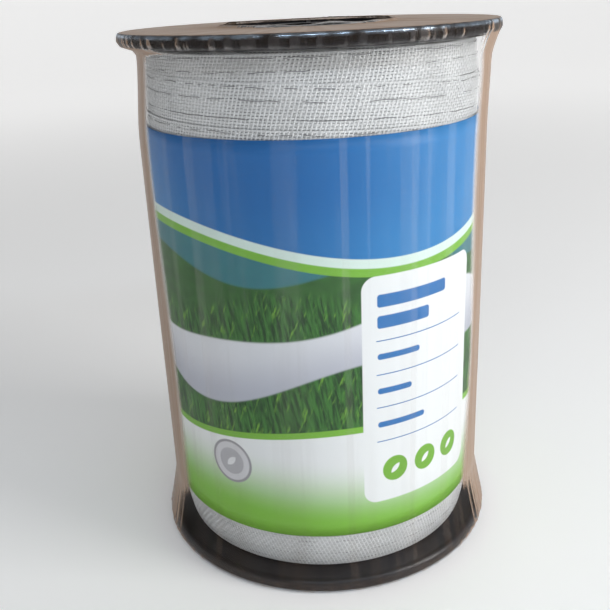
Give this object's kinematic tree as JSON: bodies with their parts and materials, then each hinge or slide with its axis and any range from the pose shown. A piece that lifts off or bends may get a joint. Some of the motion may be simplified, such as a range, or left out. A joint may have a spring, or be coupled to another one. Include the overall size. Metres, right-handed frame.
{
  "type": "electric fence tape reel",
  "caption": "Full reel of woven electric fence tape on a black flanged plastic spool, with a printed sleeve and a clear shrink film, standing on its end.",
  "frame": {"origin": "on the reel's axis, in the plane that the reel stands on", "axes": "+Z along the reel's axis, up out of the upper flange; +X and +Y across the flange, with the sleeve's overlap at the back on +Y"},
  "size_m": [0.1614, 0.1614, 0.2334],
  "materials": {
    "spool_plastic": "black polypropylene, slightly glossy",
    "woven_tape": "white woven polyethylene tape with fine steel wires",
    "printed_paper": "printed paper, blue and green, satin",
    "clear_film": "clear shrink film with a faint warm tint, glossy"
  },
  "bodies": {
    "root": {"spool_lower_half": "spool_plastic", "spool_upper_half": "spool_plastic", "tape_roll": "woven_tape", "label_sleeve": "printed_paper", "shrink_film": "clear_film"}
  },
  "joints": []
}
